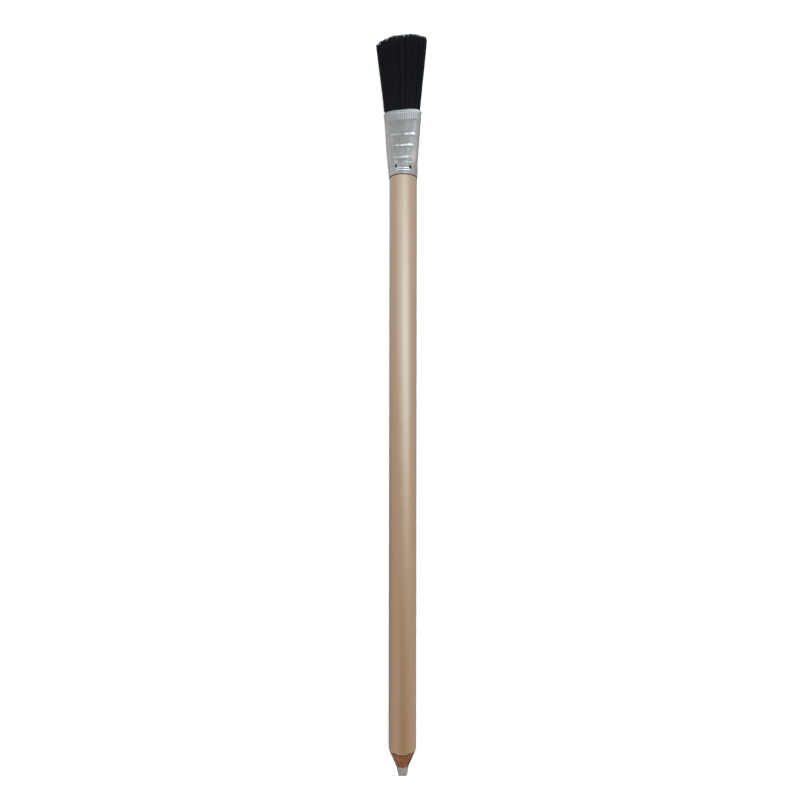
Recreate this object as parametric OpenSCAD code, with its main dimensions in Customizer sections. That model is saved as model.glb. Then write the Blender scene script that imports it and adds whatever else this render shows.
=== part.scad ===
// Eraser pencil with a brush: a rubber core in a wooden casing, and a fan of bristles in a crimped ferrule.
// The pencil lies along X with its brush towards +X, the brush is wide along Y, and z = 0 is the table.
// Each piece is drawn upright, with the eraser's tip at the bottom, and is then laid down.

/* [Barrel] */
// Diameter of the lacquered barrel
barrel_d = 7.5; // [6.5:0.1:9]
// Length of the barrel from the sharpened cone to the ferrule
barrel_len = 155.4; // [60:0.2:180]
// Thickness of the lacquer film
lacquer_t = 0.17; // [0.05:0.01:0.25]
// Angle from the middle of the brush's face round to the glued seam
seam_turn = 23; // [0:1:90]

/* [Eraser core] */
// Diameter of the core
core_d = 3.4; // [2.8:0.1:4]
// Glue film between the core and its groove
core_glue = 0.04; // [0.02:0.01:0.1]
// Half angle of the sharpened cone
cone_angle = 23.4; // [15:0.2:35]
// Length of bare core beyond the wood
tip_len = 2.8; // [2.4:0.1:6]
// Diameter of the worn tip
tip_d = 2.3; // [1.8:0.1:2.6]
// Slant of the worn end of the tip
tip_slant = 22; // [0:1:30]
// Width of the chip across the end of the tip
chip_across = 0.5; // [0.3:0.05:0.9]
// Height of the chip up the side of the tip
chip_up = 0.45; // [0.3:0.05:1]

/* [Ferrule] */
// Length of the ferrule
ferrule_len = 18.4; // [17:0.1:26]
// Thickness of the ferrule's wall
ferrule_wall = 0.35; // [0.3:0.05:0.5]
// Step from the barrel up to the ferrule's rim
ferrule_step = 0.11; // [0.05:0.01:0.3]
// Width of the flattened mouth
mouth_w = 10.3; // [8.5:0.1:12]
// Thickness of the flattened mouth
mouth_t = 2.6; // [2.2:0.1:4]
// Sideways lean of the mouth
mouth_lean = 0.2; // [0:0.05:0.4]
// Length of the round collar below the taper
collar_len = 0.5; // [0.25:0.05:0.6]
// Radius of the rolled edges at the rim and the mouth
edge_roll = 0.12; // [0.05:0.01:0.2]
// Length of the tenon that the ferrule is crimped on
tenon_len = 6; // [4.5:0.1:7]
// Clearance between the tenon and the ferrule
tenon_fit = 0.05; // [0.02:0.01:0.1]

/* [Crimping] */
// Height of the first line round the rim
line_first = 1.1; // [0.8:0.05:1.1]
// Spacing of the two lines round the rim
line_pitch = 0.6; // [0.4:0.05:0.8]
// Width of each line
line_w = 0.3; // [0.15:0.05:0.35]
// Depth of each line
line_depth = 0.07; // [0.03:0.01:0.12]
// Plain wall between the lower knurled band and the first rolled groove
groove_gap = 0.1; // [0.1:0.05:0.6]
// Spacing of the rolled grooves
groove_pitch = 3.3; // [2:0.1:3.6]
// Width of a rolled groove
groove_w = 1.3; // [0.8:0.1:1.5]
// Depth of a rolled groove
groove_depth = 0.16; // [0.05:0.01:0.22]
// Share of that depth left on the ridges between the strokes of a groove
ridge_share = 0.3; // [0.1:0.1:1]
// Depth of the knurling's notches
knurl_depth = 0.07; // [0.03:0.01:0.1]
// Plain wall between the lines and the lower knurled band
line_gap = 0.05; // [0.05:0.05:0.5]
// Length of the lower knurled band
low_band = 1.7; // [1.5:0.1:2.2]
// Length of the knurled band below the lip
high_band = 2.1; // [1:0.1:2.8]
// Plain lip between the upper band and the mouth
lip_len = 1; // [0.5:0.1:1.4]
// Height of a stake mark
stake_h = 0.8; // [0.6:0.1:1]
// Width of a stake mark
stake_w = 0.6; // [0.6:0.05:1]
// Depth of a stake mark
stake_depth = 0.24; // [0.1:0.01:0.26]
// Distance of a stake mark from the middle of the face
stake_out = 2; // [1.2:0.1:2.6]

/* [Brush] */
// Length of the bristles outside the mouth
tuft_len = 20; // [10:0.2:30]
// Width of the brush at its tips
tuft_w = 14.1; // [10:0.1:18]
// Thickness of the brush at its tips
tuft_t = 4.6; // [3:0.1:6]
// Sideways lean of the brush at its tips
tuft_lean = 0.6; // [0:0.1:1]
// Drop of the trim line at the left corner
left_drop = 2.8; // [0:0.1:4]
// Drop of the trim line at the right corner
right_drop = 1.3; // [0:0.1:4]
// Largest difference in length between neighbouring bristles
trim_scatter = 0.5; // [0.1:0.05:1]
// Bristles across the width
columns = 52; // [38:1:54]
// Bristles through the thickness
rows = 8; // [6:1:9]
// Thickness of a bristle at its root
bristle_root = 0.13; // [0.08:0.01:0.15]
// Thickness of a bristle at its tip, where it stands for a small lock
bristle_tip = 0.2; // [0.12:0.01:0.22]
// Depth of the roots below the mouth
root_depth = 1; // [0.5:0.1:2]
// Thickness of the slice of resin that the bristles stand in
slice_t = 2.4; // [1.5:0.1:3]
// Clearance round the brush and its resin inside the ferrule
brush_fit = 0.05; // [0.02:0.01:0.1]

/* [Hidden] */
$fn = 96;

// Radii of the barrel
barrel_r = barrel_d / 2;
wood_r = barrel_r - lacquer_t;
core_r = core_d / 2;
groove_r = core_r + core_glue;
tip_r = tip_d / 2;

// Heights along the upright pencil, from the eraser's tip
cone_len = (barrel_r - core_r) / tan(cone_angle);
barrel_z = tip_len + cone_len;
ferrule_z = barrel_z + barrel_len;
tenon_z = ferrule_z + tenon_len;
overall_len = ferrule_z + ferrule_len + tuft_len;

// The ferrule, with heights from its rim
ferrule_r = barrel_r + ferrule_step;
ferrule_sides = 84;
plug_sides = 42;
groove_count = 3;
groove_strokes = 6;
ridge_turn = 3;
band_z = line_first + line_pitch + line_w / 2 + line_gap;
low_band_top = band_z + low_band;
groove_first = low_band_top + groove_gap + groove_w / 2;
high_band_top = ferrule_len - lip_len;
notch_run = 0.1;
stake_z = band_z + 2 * notch_run;
slice_top = ferrule_len - root_depth;
slice_z = slice_top - slice_t;
wood_clear = ferrule_wall + groove_depth + tenon_fit;

// The sharpened cone's height at a radius
function cone_z(r) = tip_len + (r - core_r) / tan(cone_angle);

// Half width and half thickness of the ferrule's outline: a circle at the collar, flattened at the mouth
function taper(z) = max(0, z - collar_len) / (ferrule_len - collar_len);
function half_w(z) = ferrule_r + (mouth_w / 2 - ferrule_r) * taper(z);
function half_t(z) = ferrule_r + (mouth_t / 2 - ferrule_r) * taper(z);

// How far the outline lies to the left, from the tenon up to the leaning mouth
function side_lean(z) = mouth_lean * max(0, z - tenon_len) / (ferrule_len - tenon_len);

// How far round a quarter of the outline point k of n lies, from 0 at the face to 1 at the edge
function quarter_share(k, n) = let (q = 4 * k / n, i = floor(q)) i % 2 == 0 ? q - i : 1 - (q - i);

// Length of a quarter of the outline at height z, moved inwards
function quarter_len(z, inward) = half_w(z) - half_t(z) + PI * (half_t(z) - inward) / 2;

// Point k of n on the outline at height z, moved inwards: two flats joined by half circles
function outline_point(k, n, z, inward) =
    let (
        flat = half_w(z) - half_t(z),
        round_r = half_t(z) - inward,
        along = quarter_share(k, n) * quarter_len(z, inward),
        turn = max(0, along - flat) / round_r * 180 / PI,
        side_x = 4 * k > n && 4 * k < 3 * n ? -1 : 1,
        side_y = 2 * k > n ? -1 : 1
    )
    [side_x * round_r * cos(turn), side_y * (min(along, flat) + round_r * sin(turn)) + side_lean(z), z];

function ring(n, z, inward) = [for (k = [0 : n - 1]) outline_point(k, n, z, inward)];

// Two clockwise triangles between neighbouring points of a lower and an upper ring
function wall_faces(low, high, n) = [
    for (k = [0 : n - 1])
        let (next = (k + 1) % n)
        each [[low + k, high + k, high + next], [low + k, high + next, low + next]]
];

// Heights of the grooves, and how far the wall is pressed in beside them
function groove_z(i) = groove_first + i * groove_pitch;
function groove_press(z) = groove_depth * max([
    for (i = [0 : groove_count - 1]) max(0, 1 - abs(z - groove_z(i)) / (groove_w / 2))
]);

// One row of the ferrule's outside: height, depth all round, depth rolled in strokes, knurled, staked
function plain_row(z) = [z, 0, 0, false, false];
function line_rows(z) = [
    plain_row(z - line_w / 2),
    [z, line_depth, 0, false, false],
    plain_row(z + line_w / 2)
];
function groove_rows(z) = [
    for (step = [-1 : 0.5 : 1])
        [z + step * groove_w / 2, 0, groove_depth * (1 + cos(180 * step)) / 2, false, false]
];

outside_rows = [
    [0, edge_roll, 0, false, false],
    plain_row(edge_roll),
    plain_row(collar_len),
    each line_rows(line_first),
    each line_rows(line_first + line_pitch),
    plain_row(band_z),
    [band_z + notch_run, 0, 0, true, false],
    [stake_z, 0, 0, true, true],
    [stake_z + stake_h, 0, 0, true, true],
    [stake_z + stake_h + notch_run, 0, 0, true, false],
    [low_band_top - notch_run, 0, 0, true, false],
    plain_row(low_band_top),
    each [for (i = [0 : groove_count - 1]) each groove_rows(groove_z(i))],
    plain_row(high_band_top - high_band),
    [high_band_top - high_band + notch_run, 0, 0, true, false],
    [high_band_top - notch_run, 0, 0, true, false],
    plain_row(high_band_top),
    plain_row(ferrule_len - edge_roll),
    [ferrule_len, edge_roll, 0, false, false]
];

// Heights of the inside, which follows the collar and the rolled grooves
groove_heights = [
    for (i = [0 : groove_count - 1], step = [-1 : 1 : 1]) groove_z(i) + step * groove_w / 2
];
inside_heights = [0, collar_len, each groove_heights, ferrule_len];

// A vertex is staked where it lies within a mark's width, on both faces and both sides
function staked(k, z) =
    let (along = quarter_share(k, ferrule_sides) * quarter_len(z, 0))
    abs(along - stake_out) < stake_w / 2;

// Share of a groove's depth at vertex k: all of it along a stroke, less on the ridge between two strokes
function stroke(k) = k % (ferrule_sides / groove_strokes) == ridge_turn ? ridge_share : 1;

// Depth of a row's vertex k below the plain outline
function row_depth(row, k) =
    row[1] + row[2] * stroke(k)
    + (row[3] && k % 2 == 1 ? knurl_depth : 0)
    + (row[4] && staked(k, row[0]) ? stake_depth : 0);

// The bristles, laid out in cells over the top of the slice: columns run along Y and rows along X
tip_z = ferrule_len + tuft_len;
corner_drop = max(left_drop, right_drop) + trim_scatter;
mouth_share = root_depth / (root_depth + tuft_len - corner_drop);
mouth_flat = half_w(ferrule_len) - half_t(ferrule_len);
mouth_round = half_t(ferrule_len) - ferrule_wall - brush_fit;
end_angle = 60;
mouth_reach = mouth_flat + mouth_round * sin(end_angle);
tip_reach = (tuft_w - bristle_tip) / 2 * columns / (columns - 1);
tip_depth = (tuft_t - bristle_tip) / 2 * rows / (rows - 1);

// The root's half size, such that a straight bristle clears the mouth on its way to the tip
function root_size(mouth, tip) = (mouth - mouth_share * tip) / (1 - mouth_share);
root_reach = root_size(mouth_reach, tip_reach + tuft_lean);
root_half_t = root_size(mouth_round, tip_depth);

// Share of the full thickness at a share u of the width: the brush has the mouth's rounded ends
function end_share(u) = sqrt(1 - pow(max(0, abs(u) * mouth_reach - mouth_flat) / mouth_round, 2));

// Places in the brush from shares u of the width and v of the thickness
function root_place(u, v) =
    [v * root_half_t * end_share(u), u * root_reach + side_lean(slice_top), slice_top];
function trim_drop(u) = (u > 0 ? left_drop : right_drop) * u * u;
function tip_place(u, v, cut, shift) =
    [v * tip_depth * end_share(u), u * tip_reach + tuft_lean + shift, tip_z - trim_drop(u) - cut];
function slice_place(u, v) =
    let (
        flat = half_w(slice_z) - half_t(slice_z),
        round_r = half_t(slice_z) - ferrule_wall - brush_fit,
        reach = flat + round_r * sin(end_angle),
        y = u * reach,
        x = v * round_r * sqrt(1 - pow(max(0, abs(y) - flat) / round_r, 2))
    )
    [x, y + side_lean(slice_z), slice_z];

function column_share(i) = 2 * i / columns - 1;
function row_share(j) = 2 * j / rows - 1;

// Four corners round a place
function square_ring(place, half_x, half_y) = [
    for (corner = [[-1, -1], [1, -1], [1, 1], [-1, 1]])
        place + [corner[0] * half_x, corner[1] * half_y, 0]
];

// Numbers of the points in the tuft: the cells' corners, the slice's edge, then eight to a bristle
function corner_id(i, j) = i * (rows + 1) + j;
corner_total = (columns + 1) * (rows + 1);
edge_total = 2 * (columns + rows);
middle_id = corner_total + edge_total;
function bristle_id(i, j) = middle_id + 1 + 8 * (i * rows + j);

// The cells round the outside of the slice, in order
edge_cells = [
    each [for (j = [0 : rows - 1]) [0, j]],
    each [for (i = [0 : columns - 1]) [i, rows]],
    each [for (j = [rows : -1 : 1]) [columns, j]],
    each [for (i = [columns : -1 : 1]) [i, 0]]
];

// Largest share of its cell that a root fills, and the sideways step of every other row's tips
root_fill = 0.8;
tip_step = 0.25;
scatter_seed = 7;
cuts = rands(0, trim_scatter, columns * rows, scatter_seed);

function bristle_points(i, j) =
    let (
        u = column_share(i + 0.5),
        v = row_share(j + 0.5),
        spacing = 2 * root_half_t * end_share(u) / rows,
        root_x = min(bristle_root, root_fill * spacing) / 2,
        shift = (j % 2 == 0 ? tip_step : -tip_step) * 2 * tip_reach / columns,
        tip = tip_place(u, v, cuts[i * rows + j], shift)
    )
    [
        each square_ring(root_place(u, v), root_x, bristle_root / 2),
        each square_ring(tip, bristle_tip / 2, bristle_tip / 2)
    ];

function bristle_faces(i, j) =
    let (
        corners = [corner_id(i, j), corner_id(i, j + 1), corner_id(i + 1, j + 1), corner_id(i + 1, j)],
        root = bristle_id(i, j),
        tip = root + 4
    )
    [
        for (m = [0 : 3])
            let (next = (m + 1) % 4)
            each [[corners[m], root + m, root + next], [corners[m], root + next, corners[next]]],
        each wall_faces(root, tip, 4),
        [tip, tip + 3, tip + 2],
        [tip, tip + 2, tip + 1]
    ];

module lay_down() {
    translate([-overall_len / 2, 0, ferrule_r])
        rotate([0, 90, 0])
            children();
}

// A slat turned to shape with its fellow: cone, barrel, shoulder and a tenon that narrows with the ferrule
module casing_half(turn) {
    crimp_z = groove_first - groove_w / 2;
    color("#7d4f38")
        lay_down()
            rotate([0, 0, turn])
                rotate_extrude(angle = 180)
                    polygon([
                        [groove_r, cone_z(groove_r)],
                        [wood_r, cone_z(wood_r)],
                        [wood_r, ferrule_z],
                        [ferrule_r - ferrule_wall - tenon_fit, ferrule_z],
                        [ferrule_r - ferrule_wall - tenon_fit, ferrule_z + collar_len],
                        [half_t(crimp_z) - wood_clear, ferrule_z + crimp_z],
                        [half_t(tenon_len) - wood_clear, tenon_z],
                        [groove_r, tenon_z]
                    ]);
}

module casing_half_left() {
    casing_half(-seam_turn);
}

module casing_half_right() {
    casing_half(180 - seam_turn);
}

// What wear has taken off the tip: everything below its slanted end, and a chip on one side
module worn_away() {
    block = 2 * core_d;
    translate([tip_r, 0, 0])
        rotate([0, tip_slant, 0]) {
            translate([-0.75 * block, -block / 2, -block])
                cube(block);
            translate([0, chip_across - tip_r, 0])
                rotate([atan2(chip_across, chip_up), 0, 0])
                    translate([-0.75 * block, -block, -block / 2])
                        cube(block);
        }
}

// The rubber rod, worn to a slant at its tip and chipped on one side
module eraser_core() {
    color("#96938c")
        lay_down()
            difference() {
                rotate_extrude()
                    polygon([
                        [0, 0],
                        [tip_r, 0],
                        [core_r, tip_len],
                        [core_r, tenon_z],
                        [0, tenon_z]
                    ]);
                worn_away();
            }
}

module lacquer_coat() {
    color("#c8b199")
        lay_down()
            rotate_extrude()
                polygon([
                    [wood_r, cone_z(wood_r)],
                    [barrel_r, barrel_z],
                    [barrel_r, ferrule_z],
                    [wood_r, ferrule_z]
                ]);
}

// A tube flattened towards its mouth, with rolled grooves, knurled bands and stake marks
module ferrule() {
    n = ferrule_sides;
    outside = [
        for (row = outside_rows)
            [for (k = [0 : n - 1]) outline_point(k, n, row[0], row_depth(row, k))]
    ];
    inside = [
        for (m = [len(inside_heights) - 1 : -1 : 0])
            ring(n, inside_heights[m], ferrule_wall + groove_press(inside_heights[m]))
    ];
    rings = concat(outside, inside);
    color("#aeaeb0")
        lay_down()
            translate([0, 0, ferrule_z])
                polyhedron(
                    points = [for (points = rings) each points],
                    faces = [
                        for (m = [0 : len(rings) - 1])
                            each wall_faces(m * n, (m + 1) % len(rings) * n, n)
                    ]
                );
}

// Resin poured on the tenon, which fills the ferrule up to the bristles
module resin_plug() {
    n = plug_sides;
    heights = [
        tenon_len,
        each [for (z = groove_heights) if (z > tenon_len && z < slice_z) z],
        slice_z
    ];
    top = len(heights) * n;
    color("#b9a36a")
        lay_down()
            translate([0, 0, ferrule_z])
                polyhedron(
                    points = [
                        for (z = heights) each ring(n, z, ferrule_wall + groove_press(z) + brush_fit),
                        [0, 0, tenon_len],
                        [0, 0, slice_z]
                    ],
                    faces = [
                        for (m = [0 : len(heights) - 2]) each wall_faces(m * n, (m + 1) * n, n),
                        for (k = [0 : n - 1]) [top, k, (k + 1) % n],
                        for (k = [0 : n - 1]) [top + 1, top - n + (k + 1) % n, top - n + k]
                    ]
                );
}

// Bristles that fan out from the slice of resin, in one skin with it
module bristle_tuft() {
    cells = [for (i = [0 : columns - 1], j = [0 : rows - 1]) [i, j]];
    color("#17171a")
        lay_down()
            translate([0, 0, ferrule_z])
                polyhedron(
                    points = [
                        for (i = [0 : columns], j = [0 : rows]) root_place(column_share(i), row_share(j)),
                        for (c = edge_cells) slice_place(column_share(c[0]), row_share(c[1])),
                        [0, 0, slice_z],
                        for (c = cells) each bristle_points(c[0], c[1])
                    ],
                    faces = [
                        for (c = cells) each bristle_faces(c[0], c[1]),
                        for (k = [0 : edge_total - 1])
                            let (
                                next = (k + 1) % edge_total,
                                low = corner_total + k,
                                low_next = corner_total + next,
                                high = corner_id(edge_cells[k][0], edge_cells[k][1]),
                                high_next = corner_id(edge_cells[next][0], edge_cells[next][1])
                            )
                            each [
                                [low, high, high_next],
                                [low, high_next, low_next],
                                [middle_id, low, low_next]
                            ]
                    ]
                );
}

casing_half_left();
casing_half_right();
eraser_core();
lacquer_coat();
ferrule();
resin_plug();
bristle_tuft();
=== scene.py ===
"""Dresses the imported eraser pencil: a lacquered wooden pencil with a rubber core and a fan brush.

The pencil lies along X with its brush towards +X. Shapes are worked out in millimetres and scaled to
metres as each mesh is made. Angles round the pencil count from straight up towards +Y.
"""
import math

import bmesh
import bpy
import numpy as np
from mathutils import Matrix, Quaternion, Vector


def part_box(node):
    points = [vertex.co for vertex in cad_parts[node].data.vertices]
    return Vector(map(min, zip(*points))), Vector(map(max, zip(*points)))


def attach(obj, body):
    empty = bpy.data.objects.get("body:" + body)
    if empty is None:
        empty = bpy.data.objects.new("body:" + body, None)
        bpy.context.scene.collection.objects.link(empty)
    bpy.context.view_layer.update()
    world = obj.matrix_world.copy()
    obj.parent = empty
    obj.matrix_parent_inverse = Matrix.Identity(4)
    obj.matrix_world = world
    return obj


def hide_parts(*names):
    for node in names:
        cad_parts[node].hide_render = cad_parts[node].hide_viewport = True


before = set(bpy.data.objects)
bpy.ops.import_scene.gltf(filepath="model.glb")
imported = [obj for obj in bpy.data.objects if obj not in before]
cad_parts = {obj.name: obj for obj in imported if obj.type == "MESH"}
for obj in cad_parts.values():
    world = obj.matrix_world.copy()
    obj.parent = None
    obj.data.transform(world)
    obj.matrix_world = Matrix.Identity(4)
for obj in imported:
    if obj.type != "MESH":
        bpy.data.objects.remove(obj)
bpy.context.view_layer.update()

MM = 0.001
BODY = "root"
ROUND = math.tau  # a whole turn

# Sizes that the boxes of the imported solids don't give
FILM = 0.17  # thickness of the lacquer
CONE_SLOPE = math.tan(math.radians(23.4))  # rise of the sharpened cone
CONE_BACK = 0.2  # how far the wood's cone lies behind the solid's
CORE_GLUE = 0.04  # gap between the core and its bore
SEAM_ANGLE = 23  # place of the seam between the slats, in degrees
MOUTH_HALF_T = 1.3  # half thickness of the ferrule's mouth
MOUTH_LEAN = 0.2  # how far the mouth leans towards +Y
MOUTH_SPRING = 0.09  # how far the mouth's ends spring past the solid's
LEAN_HEIGHT = 5.0  # height above the rim at which the lean is complete
COLLAR_LEN = 0.15  # straight part of the ferrule above its rim
WALL = 0.35  # wall of the ferrule
TENON_GAP = 0.08  # gap between the tenon and the ferrule
TENON_TAPER = 0.75  # how much the tenon's radius shrinks along its length
SLICE_LEN = 2.4  # slice of resin that the bristles stand in
SLICE_DEPTH = 1.0  # depth of that slice below the mouth
SLICE_GAP = 0.08  # gap between that slice and the ferrule


def box_mm(node):
    """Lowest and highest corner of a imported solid, in millimetres."""
    low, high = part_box(node)
    return np.array(low) / MM, np.array(high) / MM


coat_low, coat_high = box_mm("lacquer_coat")
core_low, core_high = box_mm("eraser_core")
ferrule_low, ferrule_high = box_mm("ferrule")
tuft_low, tuft_high = box_mm("bristle_tuft")

AXIS_Z = (coat_low[2] + coat_high[2]) / 2
BARREL_R = (coat_high[2] - coat_low[2]) / 2
WOOD_R = BARREL_R - FILM
CORE_R = (core_high[2] - core_low[2]) / 2
BORE_R = CORE_R + CORE_GLUE
RIM_R = (ferrule_high[2] - ferrule_low[2]) / 2
MOUTH_HALF_W = ferrule_high[1] - MOUTH_LEAN + MOUTH_SPRING
TIP_X = core_low[0]
CUT_X = coat_low[0] + FILM / CONE_SLOPE
CORE_END_X = core_high[0]
RIM_X = ferrule_low[0]
MOUTH_X = ferrule_high[0]
FERRULE_LEN = MOUTH_X - RIM_X


# Shape helpers


def smooth_step(value, low, high):
    """0 below low, 1 above high, and a smooth rise between them."""
    share = np.clip((value - low) / (high - low), 0, 1)
    return share * share * (3 - 2 * share)


def bump_at(value, centre, width):
    """A smooth hump of height 1 round a centre."""
    return np.exp(-(((value - centre) / width) ** 2))


def turn_between(angle, centre):
    """Angle from a centre, in degrees, wrapped to within half a turn."""
    return (np.degrees(angle) - centre + 180) % 360 - 180


def ripple(angle, seed, waves, most_turns, along=0.0, least_pitch=1.0):
    """Smooth noise of about unit height over an angle and a length, whole round the circle."""
    random = np.random.default_rng(seed)
    total = 0.0
    for _ in range(waves):
        turns = random.integers(0, most_turns + 1)
        pitch = least_pitch * random.uniform(1, 4)
        phase = random.uniform(0, ROUND)
        total = total + np.sin(turns * angle + ROUND * along / pitch + phase)
    return total / math.sqrt(waves)


def round_points(along, radius, angle):
    """Points at a radius round the pencil's axis."""
    along, radius, angle = np.broadcast_arrays(along, radius, angle)
    return np.stack([along, radius * np.sin(angle), AXIS_Z + radius * np.cos(angle)], axis=-1)


def grid_faces(rows, columns, wrap_rows=False, wrap_columns=True):
    """Four-sided faces over a grid of points, numbered row by row."""
    row = np.arange(rows if wrap_rows else rows - 1)[:, None]
    column = np.arange(columns if wrap_columns else columns - 1)[None, :]
    next_row = (row + 1) % rows
    next_column = (column + 1) % columns
    corners = [
        row * columns + column,
        row * columns + next_column,
        next_row * columns + next_column,
        next_row * columns + column,
    ]
    return np.stack(np.broadcast_arrays(*corners), axis=-1).reshape(-1, 4).tolist()


def end_caps(rows, columns, first=0):
    """The two faces that close the ends of a tube of points."""
    last = first + (rows - 1) * columns
    return [
        [first + column for column in reversed(range(columns))],
        [last + column for column in range(columns)],
    ]


def make_piece(name, points, faces, material, node, sharp):
    """A closed mesh piece that rides with the pencil and stands for a solid, sharp past an angle."""
    mesh = bpy.data.meshes.new(name)
    mesh.from_pydata((np.asarray(points).reshape(-1, 3) * MM).tolist(), [], faces)
    shape = bmesh.new()
    shape.from_mesh(mesh)
    bmesh.ops.recalc_face_normals(shape, faces=shape.faces)
    shape.to_mesh(mesh)
    shape.free()
    mesh.shade_smooth()
    mesh.set_sharp_from_angle(angle=math.radians(sharp))
    mesh.materials.append(material)
    piece = bpy.data.objects.new(name, mesh)
    bpy.context.collection.objects.link(piece)
    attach(piece, BODY)
    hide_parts(node)
    return piece


def paint_points(piece, name, values):
    """Stores one number per point for the material to read."""
    layer = piece.data.attributes.new(name, "FLOAT", "POINT")
    layer.data.foreach_set("value", np.ascontiguousarray(values, dtype=np.float32).ravel())


# Material helpers

# The colour sockets of a Mix node share their names with others, so they are picked by number
MIX_FACTOR, MIX_FIRST, MIX_SECOND = 0, 6, 7
MIX_RESULT = 2


def new_material(name, **sockets):
    """A material with its shader, whose uniform values are set on the shader's own sockets."""
    material = bpy.data.materials.new(name)
    material.use_nodes = True
    tree = material.node_tree
    shader = tree.nodes["Principled BSDF"]
    for socket, value in sockets.items():
        shader.inputs[socket.replace("_", " ")].default_value = value
    return material, tree, shader


def connect(tree, shader, **sockets):
    """Links values that vary to the shader's sockets."""
    for socket, value in sockets.items():
        tree.links.new(value, shader.inputs[socket.replace("_", " ")])


def add_node(tree, kind, sockets=None, **settings):
    """A shader node with its settings made and its sockets set or linked."""
    node = tree.nodes.new("ShaderNode" + kind)
    for name, value in settings.items():
        setattr(node, name, value)
    for name, value in (sockets or {}).items():
        if isinstance(value, bpy.types.NodeSocket):
            tree.links.new(value, node.inputs[name])
        else:
            node.inputs[name].default_value = value
    return node


def object_place(tree):
    """Place on the object, in metres."""
    return add_node(tree, "TexCoord").outputs["Object"]


def painted(tree, name):
    """The number that paint_points stored under a name."""
    return add_node(tree, "Attribute", attribute_name=name).outputs["Fac"]


def noise(tree, per_mm, detail=3.0, roughness=0.55):
    """Noise with a number of features per millimetre along each axis."""
    scale = tuple(value / MM for value in per_mm)
    place = add_node(tree, "Mapping", {"Vector": object_place(tree), "Scale": scale}).outputs["Vector"]
    sockets = {"Vector": place, "Scale": 1.0, "Detail": detail, "Roughness": roughness}
    return add_node(tree, "TexNoise", sockets).outputs["Fac"]


def remap(tree, value, low, high, start=0.0, end=1.0):
    """A value carried from one range over to another and held at its ends."""
    sockets = {"Value": value, "From Min": low, "From Max": high, "To Min": start, "To Max": end}
    return add_node(tree, "MapRange", sockets).outputs["Result"]


def ramp(tree, factor, *stops):
    """Colour or grey by stops of a position and a colour."""
    node = add_node(tree, "ValToRGB", {"Fac": factor})
    elements = node.color_ramp.elements
    while len(elements) < len(stops):
        elements.new(0.5)
    for element, (position, colour) in zip(elements, stops):
        element.position = position
        element.color = (*colour, 1.0) if isinstance(colour, tuple) else (colour, colour, colour, 1.0)
    return node.outputs["Color"]


def mix(tree, factor, first, second):
    """Two colours mixed by a factor."""
    node = add_node(tree, "Mix", data_type="RGBA")
    for index, value in ((MIX_FACTOR, factor), (MIX_FIRST, first), (MIX_SECOND, second)):
        if isinstance(value, bpy.types.NodeSocket):
            tree.links.new(value, node.inputs[index])
        else:
            node.inputs[index].default_value = (*value, 1.0)
    return node.outputs[MIX_RESULT]


def bump(tree, shader, *layers):
    """Stacks bump layers of a height, a depth in millimetres and a strength."""
    normal = None
    for height, depth, strength in layers:
        sockets = {"Height": height, "Distance": depth * MM, "Strength": strength}
        if normal:
            sockets["Normal"] = normal
        normal = add_node(tree, "Bump", sockets).outputs["Normal"]
    connect(tree, shader, Normal=normal)


# Materials


def pearl_lacquer():
    """Beige pearl paint: fine flake under a clear gloss, painted browner and darker towards the eraser
    end as painted shade.
    """
    material, tree, shader = new_material(
        "pearl_lacquer",
        Coat_Weight=1.0,
        Coat_Roughness=0.42,
        Coat_IOR=1.8,
        Specular_IOR_Level=0.6,
    )
    deep, pale = (0.176, 0.085, 0.027), (0.196, 0.096, 0.032)
    flake_colour = (0.210, 0.104, 0.037)
    eraser_end_shade_colour = (0.160, 0.058, 0.011)
    undercoat = (0.40, 0.27, 0.17)
    drift = noise(tree, (0.02, 0.16, 0.16), detail=2.0)
    flake = noise(tree, (14, 14, 14), detail=1.0)
    drawn = noise(tree, (0.03, 3.0, 3.0), detail=4.0)
    along = add_node(tree, "SeparateXYZ", {"Vector": object_place(tree)}).outputs["X"]
    # Painted shade: the paint darkens towards the eraser end, which lies further from the lamps
    eraser_end_shade = remap(tree, along, -90 * MM, 10 * MM, start=0.5, end=0.0)
    colour = ramp(tree, drift, (0.35, deep), (0.65, pale))
    colour = mix(tree, flake, colour, flake_colour)
    colour = mix(tree, eraser_end_shade, colour, eraser_end_shade_colour)
    colour = mix(tree, painted(tree, "cut"), colour, undercoat)
    rough = ramp(tree, drawn, (0.35, 0.50), (0.7, 0.62))
    connect(tree, shader, Base_Color=colour, Roughness=rough)
    bump(tree, shader, (drawn, 0.012, 0.25), (flake, 0.004, 0.3))
    return material


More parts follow.
